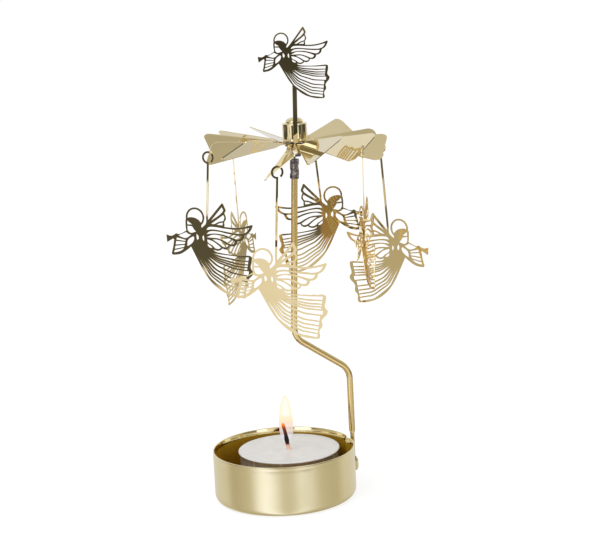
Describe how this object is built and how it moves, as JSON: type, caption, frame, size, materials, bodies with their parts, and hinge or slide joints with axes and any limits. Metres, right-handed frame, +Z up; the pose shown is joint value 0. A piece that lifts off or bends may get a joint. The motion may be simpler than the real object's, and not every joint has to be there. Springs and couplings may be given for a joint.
{
  "type": "candle carousel",
  "caption": "Tealight holder with a bent wire post carrying a pitched-vane rotor that turns on a needle, hung with etched herald-angel charms.",
  "frame": {"origin": "centre of the candle cup's flat base, on the table", "axes": "+Z up the post, +Y away from the viewer of the picture, +X to the viewer's right, towards the post's foot"},
  "size_m": [0.0947, 0.0792, 0.1732],
  "materials": {
    "brass_plate": "satin gold-coloured plating on thin sheet and wire",
    "polished_brass": "mirror-polished gold-coloured plating",
    "bright_steel": "bright crimped steel",
    "aluminium_foil": "thin drawn foil, slightly rippled",
    "white_wax": "smooth white candle wax",
    "burnt_cotton": "charred braided cotton"
  },
  "bodies": {
    "holder": {"candle_cup": "brass_plate", "post_rod": "brass_plate", "needle_ferrule": "bright_steel", "pivot_needle": "bright_steel"},
    "tealight": {"tealight_cup": "aluminium_foil", "tealight_wax": "white_wax", "wick_sustainer": "aluminium_foil", "wick": "burnt_cotton"},
    "rotor": {"vane_rotor": "brass_plate", "rotor_hub": "polished_brass", "hub_dome": "polished_brass", "pivot_bearing": "bright_steel", "rotor_collar": "brass_plate", "top_angel": "brass_plate"},
    "charm_right": {"charm_right": "brass_plate"},
    "charm_back": {"charm_back": "brass_plate"},
    "charm_back_left": {"charm_back_left": "brass_plate"},
    "charm_left": {"charm_left": "brass_plate"},
    "charm_front": {"charm_front": "brass_plate"},
    "charm_front_right": {"charm_front_right": "brass_plate"}
  },
  "joints": [
    {"name": "rotor_spin", "type": "hinge", "parent": "holder", "child": "rotor", "pos_m": [0.01, 0, 0.13698], "axis": [0, 0, 1], "continuous": true},
    {"name": "tealight_lift", "type": "slide", "parent": "holder", "child": "tealight", "axis": [0, 0, 1], "range_m": [0, 0.02]},
    {"name": "charm_right_swing", "type": "hinge", "parent": "rotor", "child": "charm_right", "pos_m": [0.04088, 0.00894, 0.1277], "axis": [0.5299, 0.848, 0], "range_deg": [-15, 15]},
    {"name": "charm_back_swing", "type": "hinge", "parent": "rotor", "child": "charm_back", "pos_m": [0.01687, 0.0313, 0.12903], "axis": [-0.342, 0.9397, 0], "range_deg": [-15, 15]},
    {"name": "charm_back_left_swing", "type": "hinge", "parent": "rotor", "child": "charm_back_left", "pos_m": [-0.01354, 0.02184, 0.12989], "axis": [-0.9848, 0.1736, 0], "range_deg": [-15, 15]},
    {"name": "charm_left_swing", "type": "hinge", "parent": "rotor", "child": "charm_left", "pos_m": [-0.02122, -0.00913, 0.12921], "axis": [-0.3746, -0.9272, 0], "range_deg": [-15, 15]},
    {"name": "charm_front_swing", "type": "hinge", "parent": "rotor", "child": "charm_front", "pos_m": [0.00321, -0.03085, 0.12551], "axis": [0.342, -0.9397, 0], "range_deg": [-15, 15]},
    {"name": "charm_front_right_swing", "type": "hinge", "parent": "rotor", "child": "charm_front_right", "pos_m": [0.03305, -0.02246, 0.1301], "axis": [0.9816, -0.1908, 0], "range_deg": [-15, 15]}
  ]
}
